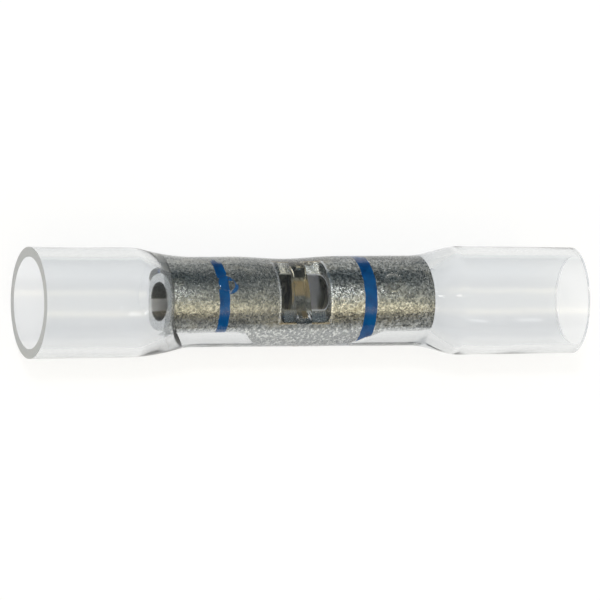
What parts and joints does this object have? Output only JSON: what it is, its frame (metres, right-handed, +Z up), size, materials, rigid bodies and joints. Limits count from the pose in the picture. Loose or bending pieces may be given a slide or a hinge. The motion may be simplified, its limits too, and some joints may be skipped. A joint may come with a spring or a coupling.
{
  "type": "heat shrink butt connector",
  "caption": "Clear heat shrink tube with wide open ends, shrunk onto a tinned copper crimp barrel with blue rings and an inspection window.",
  "frame": {"origin": "middle of the connector's length and width, at the height of the surface it lies on", "axes": "+X along the tube towards its narrower free end, +Z up through the barrel's window"},
  "size_m": [0.0382, 0.0074, 0.0074],
  "materials": {
    "clear_polyolefin": "clear, smooth, faintly cloudy heat shrink plastic",
    "tinned_copper": "dull grainy tin plating, with bare copper at worn edges",
    "blue_ink": "thin streaky printing ink"
  },
  "bodies": {
    "root": {"heat_shrink_sleeve": "clear_polyolefin", "crimp_barrel": "tinned_copper", "ink_band_left": "blue_ink", "ink_band_right": "blue_ink"}
  },
  "joints": []
}
